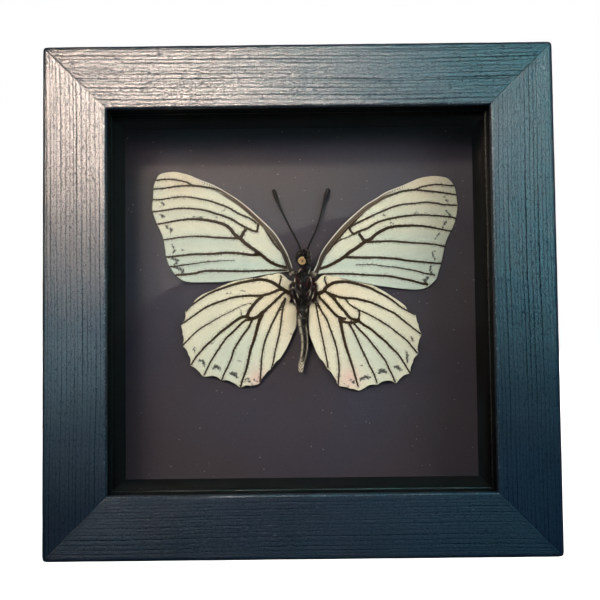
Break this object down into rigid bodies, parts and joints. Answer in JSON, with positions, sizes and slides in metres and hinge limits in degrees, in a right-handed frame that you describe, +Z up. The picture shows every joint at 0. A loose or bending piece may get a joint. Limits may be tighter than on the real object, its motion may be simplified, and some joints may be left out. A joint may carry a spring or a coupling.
{
  "type": "framed butterfly specimen",
  "caption": "Square glazed box frame with a dark mount board that shows one set butterfly, underside to the front; stands on its base or hangs by a sawtooth hanger.",
  "frame": {"origin": "middle of the frame's base, halfway between the front face of the rails and the rearmost point of the hanger nails", "axes": "+Z up, +X to the right as seen from the front, -Y out of the glass towards the viewer"},
  "size_m": [0.127, 0.034, 0.127],
  "materials": {
    "stained_wood": "blue-black stain with satin wax, fine brushed grain, pale wear on the inner edges",
    "clear_glass": "clear float glass",
    "black_spacer": "matt black",
    "charcoal_paper": "matt charcoal cover paper with a mottled surface",
    "fibreboard": "bare brown hardboard",
    "zinc_steel": "zinc-plated sheet steel",
    "brassed_steel": "brass-plated sheet steel",
    "clear_glue": "clear yellowed glue",
    "dark_body": "blackish insect cuticle with dark and pale hairs",
    "pale_wing": "pale cream to mint wing scales with dark brown veins",
    "tongue": "golden brown cuticle"
  },
  "bodies": {
    "root": {"rail_bottom": "stained_wood", "rail_left": "stained_wood", "rail_top": "stained_wood", "rail_right": "stained_wood", "glass_pane": "clear_glass", "spacer_bottom": "black_spacer", "spacer_left": "black_spacer", "spacer_top": "black_spacer", "spacer_right": "black_spacer", "mount_board": "charcoal_paper", "back_panel": "fibreboard", "retaining_point_1": "zinc_steel", "retaining_point_2": "zinc_steel", "retaining_point_3": "zinc_steel", "retaining_point_4": "zinc_steel", "retaining_point_5": "zinc_steel", "retaining_point_6": "zinc_steel", "retaining_point_7": "zinc_steel", "retaining_point_8": "zinc_steel", "hanger_plate": "brassed_steel", "hanger_nail_left": "brassed_steel", "hanger_nail_right": "brassed_steel", "glue_dab": "clear_glue", "butterfly_thorax": "dark_body", "butterfly_head": "dark_body", "butterfly_abdomen": "dark_body", "forewing_left": "pale_wing", "forewing_right": "pale_wing", "hindwing_left": "pale_wing", "hindwing_right": "pale_wing", "antenna_left": "dark_body", "antenna_right": "dark_body", "palp_left": "dark_body", "palp_right": "dark_body", "foreleg_left": "dark_body", "foreleg_right": "dark_body", "midleg_left": "dark_body", "midleg_right": "dark_body", "hindleg_left": "dark_body", "hindleg_right": "dark_body", "proboscis": "tongue"}
  },
  "joints": []
}
